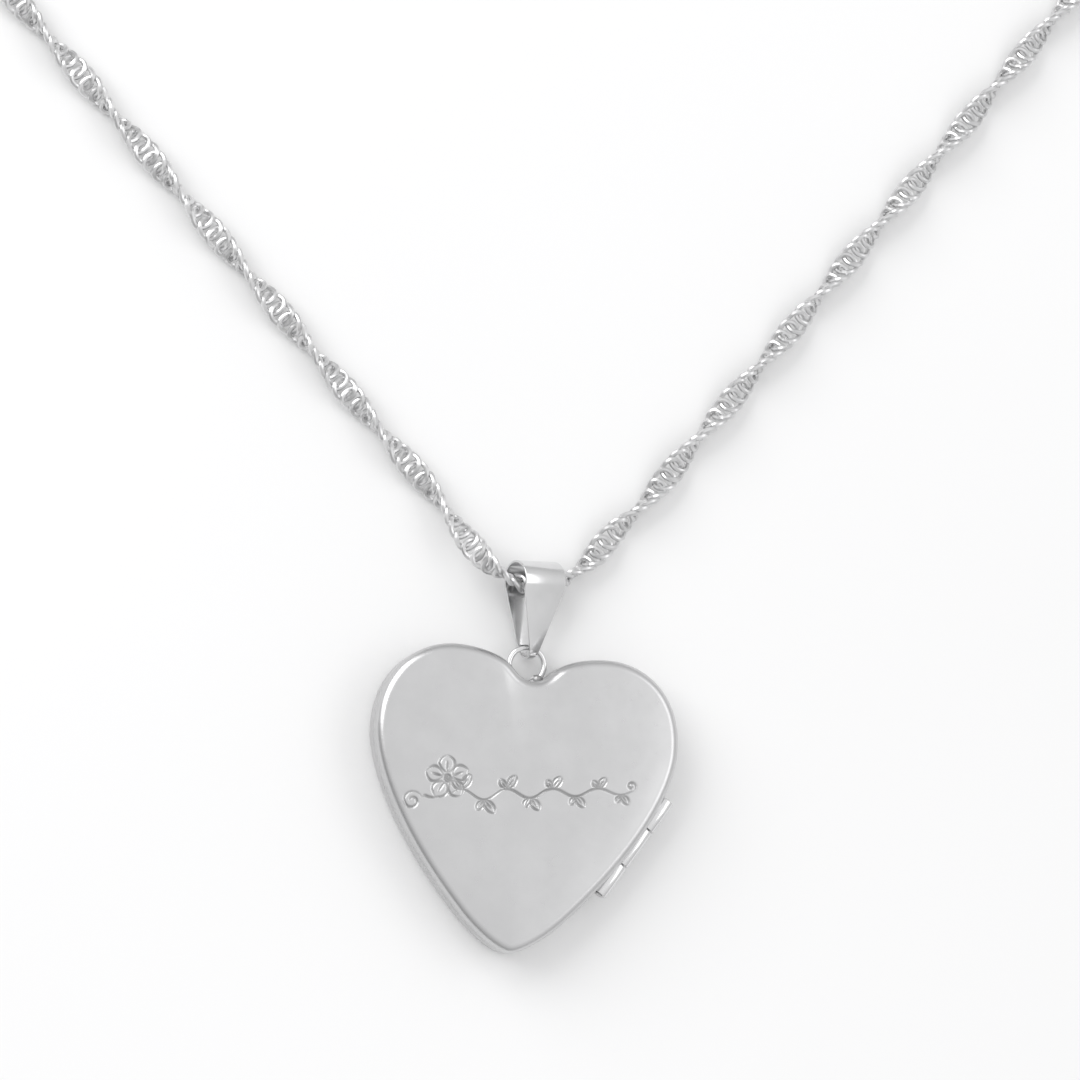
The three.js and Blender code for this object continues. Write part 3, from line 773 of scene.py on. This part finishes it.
def bail_profile():
    """Side view of the bail's outer surface: points and outward directions, in (along, depth)."""
    lean = math.asin((BAIL_TOP_R - BAIL_TIP_R) / BAIL_LENGTH)
    turn = math.pi / 2 + lean
    points = []
    for a in np.linspace(-turn, turn, 60):
        n = (math.cos(a), math.sin(a))
        points.append((BAIL_LENGTH + BAIL_TOP_R * n[0], BAIL_TOP_R * n[1], *n))
    for k in np.linspace(1, 0, 14)[1:-1]:
        r = BAIL_TIP_R + (BAIL_TOP_R - BAIL_TIP_R) * k
        n = (-math.sin(lean), math.cos(lean))
        points.append((BAIL_LENGTH * k + r * n[0], r * n[1], *n))
    for a in np.linspace(turn, 2 * math.pi - turn, 30):
        n = (math.cos(a), math.sin(a))
        points.append((BAIL_TIP_R * n[0], BAIL_TIP_R * n[1], *n))
    for k in np.linspace(0, 1, 14)[1:-1]:
        r = BAIL_TIP_R + (BAIL_TOP_R - BAIL_TIP_R) * k
        n = (-math.sin(lean), -math.cos(lean))
        points.append((BAIL_LENGTH * k + r * n[0], r * n[1], *n))
    return points


def strip_section(half, soft=0.05):
    """Across the strip: (side, depth below the outer surface), with rounded edges."""
    section = []
    corners = ((half - soft, soft, 90, 0), (half - soft, BAIL_STRIP - soft, 0, -90),
               (-half + soft, BAIL_STRIP - soft, -90, -180), (-half + soft, soft, -180, -270))
    for x, depth, a0, a1 in corners:
        for a in np.radians(np.linspace(a0, a1, 5)):
            section.append((x + soft * math.cos(a), depth - soft * math.sin(a)))
    return section


def add_bail():
    rings = []
    for u, w, nu, nw in bail_profile():
        k = min(max((u + BAIL_TIP_R) / (BAIL_LENGTH - 0.5 + BAIL_TIP_R), 0), 1)
        half = BAIL_TIP_HALF + (BAIL_TOP_HALF - BAIL_TIP_HALF) * k
        rings.append([(x, u - nu * depth, w - nw * depth) for x, depth in strip_section(half)])
    points, faces = loft(rings, closed=True)
    turn = Matrix.Identity(3)
    for axis, degrees in BAIL_TURNS:
        turn = Matrix.Rotation(math.radians(degrees), 3, axis) @ turn
    start = np.array(RING_CENTRE) + (0, RING_RADIUS, 0)
    points = points @ np.array(turn).T + start
    obj = piece("bail_strip", "bail_and_chain", "polished_silver", POLISHED, points, faces)
    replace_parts(obj, "bail")


# ---- end rings and clasp -------------------------------------------------------------------------
END_WAY = 55.03
TAIL_WAY = 5.16
END_RING = (1.3, 0.25)  # radius and wire radius
LINK_RING = (1.1, 0.2)
EYELET = (0.75, 0.22)
EYELET_WAY = 163.36
CLASP_RADIUS = 2.6
CLASP_TUBE = 0.55
CLASP_BORE = 0.33
CLASP_BOLT = 0.28
CLASP_GAP = (280, 330)
BOLT_ARC = (274, 400)
TRIGGER_ANGLE = 385
BOLT_TRAVEL = 57
RING_GAP = 0.3  # how far the end ring's wire and the clasp's stand past the chain's end and the ring
CLASP_HEIGHT = 1.25
TUBE_SOFT = 1.6  # degrees over which the tube's ends are rounded
BORE_END = 477
SLOT_HALF = 0.25
UP = np.array((0, 0, 1.0))


def arc_bar(centre, radius, stops, steps=72, sides=24):
    """Round bar bent about +Z; stops are (degrees, bar radius) from one end to the other."""
    at = np.array([s[0] for s in stops], float)
    bar = np.array([s[1] for s in stops], float)
    fine = np.unique(np.concatenate([at, np.linspace(at[0], at[-1], steps)]))
    b = np.linspace(0, 2 * math.pi, sides, endpoint=False)
    rings = []
    for a, r in zip(fine, np.interp(fine, at, bar)):
        out = heading(a)
        rings.append([centre + out * (radius + r * math.cos(x)) + UP * r * math.sin(x) for x in b])
    return loft(rings)


def add_clasp():
    end_ring = np.array(ROUTE[0]) * (1, 1, 0) + heading(END_WAY) * (RING_GAP + sum(END_RING))
    clasp = end_ring + heading(END_WAY) * (RING_GAP + CLASP_RADIUS) + UP * CLASP_HEIGHT
    end_ring += UP * sum(END_RING)
    eyelet = clasp + heading(EYELET_WAY) * (CLASP_RADIUS + CLASP_TUBE + sum(EYELET) + 0.03)
    link_ring = (eyelet - heading(TAIL_WAY) * LINK_RING[0]) * (1, 1, 0) + UP * sum(LINK_RING)
    body = "bail_and_chain"
    made = []
    for name, centre, way, size, node in (
        ("end_ring", end_ring, heading(END_WAY), END_RING, "chain_end_ring"),
        ("link_ring", link_ring, heading(TAIL_WAY), LINK_RING, "clasp_link_ring"),
    ):
        obj = piece(name, body, "polished_silver", POLISHED, *torus(centre, way, UP, *size, 72, 18))
        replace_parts(obj, node)
        made.append(obj)
    ring = torus(eyelet, (1, 0, 0), (0, 1, 0), *EYELET, 60, 18)
    obj = piece("eyelet", body, "polished_silver", POLISHED, *ring)
    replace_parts(obj, "clasp_eyelet")
    made.append(obj)
    low, high = CLASP_GAP[1], CLASP_GAP[0] + 360
    near = TUBE_SOFT * 0.4
    stops = [(low, CLASP_TUBE - 0.08), (low + near, CLASP_TUBE - 0.02), (low + TUBE_SOFT, CLASP_TUBE),
             (high - TUBE_SOFT, CLASP_TUBE), (high - near, CLASP_TUBE - 0.02), (high, CLASP_TUBE - 0.08)]
    tube = arc_bar(clasp, CLASP_RADIUS, stops, 120)
    obj = piece("clasp_tube", body, "polished_silver", POLISHED, *tube)
    slot = []
    for a in np.linspace(TRIGGER_ANGLE - 6, TRIGGER_ANGLE + BOLT_TRAVEL + 6, 40):
        slot.append([clasp + heading(a) * r + UP * z * SLOT_HALF
                     for r, z in ((2.62, -1), (3.4, -1), (3.4, 1), (2.62, 1))])
    far_bore = [(CLASP_GAP[0] - 12, CLASP_BORE), (CLASP_GAP[0] + 1, CLASP_BORE)]
    cut(obj, arc_bar(clasp, CLASP_RADIUS, [(low - 1, CLASP_BORE), (BORE_END, CLASP_BORE)], 48),
        arc_bar(clasp, CLASP_RADIUS, far_bore, 8),
        loft(slot))
    obj.data.set_sharp_from_angle(angle=math.radians(40))
    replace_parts(obj, "clasp_body")
    made.append(obj)
    bolt = arc_bar(clasp, CLASP_RADIUS, [(BOLT_ARC[0], 0.12), (BOLT_ARC[0] + 1.5, 0.22),
                                         (BOLT_ARC[0] + 4, CLASP_BOLT), (BOLT_ARC[1], CLASP_BOLT)])
    out = heading(TRIGGER_ANGLE)
    across = np.cross(UP, out)
    b = np.linspace(0, 2 * math.pi, 28, endpoint=False)
    knob = loft([[clasp + out * r + across * size * math.cos(x) + UP * size * math.sin(x) for x in b]
                 for r, size in ((2.6, 0.2), (3.42, 0.2), (3.5, 0.24), (3.55, 0.3), (3.7, 0.3),
                                 (3.79, 0.26), (3.84, 0.16), (3.85, 0.06))])
    obj = piece("clasp_slider", "clasp_trigger", "polished_silver", POLISHED, *joined(bolt, knob))
    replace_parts(obj, "clasp_bolt")
    made.append(obj)
    return made


# ---- stage, in metres ----------------------------------------------------------------------------
TABLE_HALF = 3.0
TABLE_DROP = 0.00005
SKY_AXIS = (0.3, 0.1, 0.9)
SKY = [(0.0, 0.4), (0.3, 0.62), (0.6, 0.8), (0.85, 0.92), (0.93, 0.95)]  # height along it, grey
KEY_PLACE = (-0.42, 0.30, 0.36)
KEY_SIZE = (0.5, 0.5)
KEY_POWER = 2.2
CARD_PLACE = (0.52, 0.12, 0.6)
CARD_SIZE = (0.7, 0.35)
CARD_POWER = 0.7
LIGHT_AIM = (0, 0.01, 0)


def add_stage():
    s = Shader("table")
    s.set(Metallic=0.0, Roughness=0.9, Specular_IOR_Level=0.15)
    s.tint(s.noise(0.01, detail=2), (0.865, 0.865, 0.865), (0.88, 0.88, 0.88))
    mesh = bpy.data.meshes.new("table")
    corners = [(x * TABLE_HALF, y * TABLE_HALF, 0) for x, y in ((-1, -1), (1, -1), (1, 1), (-1, 1))]
    mesh.from_pydata(corners, [], [(0, 1, 2, 3)])
    mesh.materials.append(s.material)
    table = bpy.data.objects.new("table", mesh)
    table.location.z = -TABLE_DROP
    bpy.context.scene.collection.objects.link(table)


def area_light(name, place, aim, size, power):
    data = bpy.data.lights.new(name, "AREA")
    data.shape = "RECTANGLE"
    data.size, data.size_y = size
    data.energy = power
    light = bpy.data.objects.new(name, data)
    light.location = place
    light.rotation_euler = (Vector(aim) - Vector(place)).to_track_quat("-Z", "Y").to_euler()
    bpy.context.scene.collection.objects.link(light)


def add_light():
    """A pale sky, brightest overhead and dim near the horizon, a soft key light from the left and
    a weak card of light from the right."""
    world = bpy.data.worlds.new("studio")
    bpy.context.scene.world = world
    world.use_nodes = True
    nodes, links = world.node_tree.nodes, world.node_tree.links
    place = nodes.new("ShaderNodeTexCoord")
    tilt = nodes.new("ShaderNodeVectorMath")
    tilt.operation = "DOT_PRODUCT"
    tilt.inputs[1].default_value = SKY_AXIS
    ramp = nodes.new("ShaderNodeValToRGB")
    links.new(place.outputs["Generated"], tilt.inputs[0])
    links.new(tilt.outputs["Value"], ramp.inputs["Fac"])
    while len(ramp.color_ramp.elements) < len(SKY):
        ramp.color_ramp.elements.new(0.5)
    for element, (place_in_sky, grey) in zip(ramp.color_ramp.elements, SKY):
        element.position = place_in_sky
        element.color = (grey, grey, grey * 1.005, 1)
    links.new(ramp.outputs["Color"], nodes["Background"].inputs["Color"])
    area_light("key", KEY_PLACE, LIGHT_AIM, KEY_SIZE, KEY_POWER)
    area_light("card", CARD_PLACE, LIGHT_AIM, CARD_SIZE, CARD_POWER)


# ---- the whole scene -----------------------------------------------------------------------------
bpy.context.scene.view_settings.view_transform = "Standard"
add_camera()
line = chain_line()
chain = add_chain(line)
clasp_pieces = add_clasp()
add_shells()
add_lip()
add_photo_frames()
add_hinge()
add_ring()
add_bail()
for node, material in (("photo_card_back", card_material()), ("film_window_back", film_material())):
    for name in (node, node.replace("_back", "_front")):
        mesh = frame["nodes"][name].data
        mesh.materials.clear()
        mesh.materials.append(material)
add_stage()
add_light()
